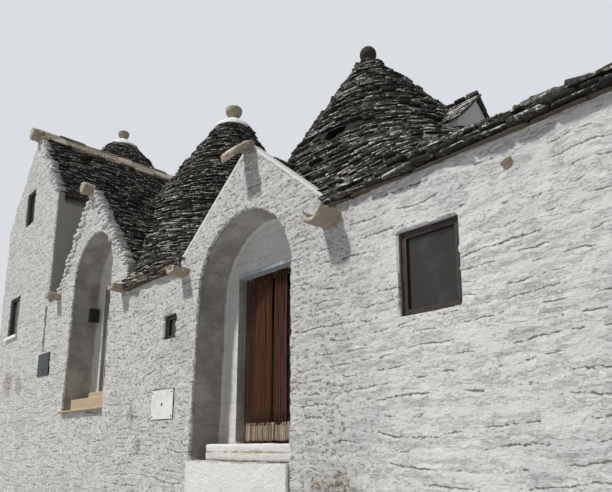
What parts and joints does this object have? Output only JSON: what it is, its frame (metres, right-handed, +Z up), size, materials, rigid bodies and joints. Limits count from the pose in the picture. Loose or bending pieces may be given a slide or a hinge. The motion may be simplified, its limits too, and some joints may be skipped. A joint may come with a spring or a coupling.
{
  "type": "trullo house",
  "caption": "Whitewashed dry-stone house with cone roofs, two arched portals, a gabled upper part and a low wing, hollow inside.",
  "frame": {"origin": "on the ground plane, on the line of the street fronts, at the point the plan is measured from", "axes": "+Z up, +Y into the house from the street fronts, +X to the right along the street"},
  "size_m": [16.44, 6.42, 9.93],
  "materials": {
    "limewashed_stone": "rough limewashed dry stone",
    "limewash_smooth": "smooth limewash on stone",
    "roof_stone": "weathered grey limestone slabs",
    "plain_plaster": "plain grey lime plaster",
    "floor_stone": "worn limestone paving",
    "tan_stone": "bare tan limestone",
    "dark_stone": "dark weathered carved stone",
    "painted_cabinet": "white paint, brushed on",
    "painted_lintel": "light blue grey paint",
    "curtain_strands": "brown hanging strands",
    "straw_strands": "olive straw strands",
    "door_frame_paint": "grey olive paint on wood",
    "black_metal": "black enamel",
    "slate_metal": "dark slate paint",
    "frame_wood": "dark brown varnished wood",
    "window_glass": "old window glass"
  },
  "bodies": {
    "root": {"apex_stones": "tan_stone", "ball_pinnacle": "dark_stone", "bowl_pinnacles": "tan_stone", "cone_caps": "limewash_smooth", "eave_courses": "roof_stone", "front_window_frames": "frame_wood", "gable_back_wall": "limewashed_stone", "gable_floors": "floor_stone", "gable_front_wall": "limewashed_stone", "gable_left_wall": "limewashed_stone", "gable_right_wall": "plain_plaster", "gable_roof": "roof_stone", "ground_floors": "floor_stone", "large_apex_slab": "tan_stone", "large_cone_front": "roof_stone", "large_cone_rear": "roof_stone", "large_door_curtain": "curtain_strands", "large_door_lintel": "painted_lintel", "large_gable_coping": "limewash_smooth", "large_portal_steps": "limewashed_stone", "large_portal_wall": "limewashed_stone", "letterbox": "black_metal", "link_wall": "limewashed_stone", "long_back_wall": "limewashed_stone", "lower_window_sill": "tan_stone", "meter_cabinet": "painted_cabinet", "rear_cone_roof": "roof_stone", "rear_trullo_front_wall": "limewashed_stone", "rear_trullo_side_wall": "limewashed_stone", "rear_window_frames": "frame_wood", "ridge_slabs": "tan_stone", "roof_dormer": "roof_stone", "slate_cabinet": "slate_metal", "small_cone_front": "roof_stone", "small_cone_rear": "roof_stone", "small_door_curtain": "straw_strands", "small_door_frame": "door_frame_paint", "small_portal_steps": "tan_stone", "small_portal_wall": "limewashed_stone", "small_trullo_floor": "floor_stone", "stone_spouts": "tan_stone", "valley_cross_wall": "limewashed_stone", "window_panes": "window_glass", "wing_cross_wall": "limewashed_stone", "wing_end_wall": "limewashed_stone", "wing_front_wall": "limewashed_stone", "wing_roof": "roof_stone"}
  },
  "joints": []
}
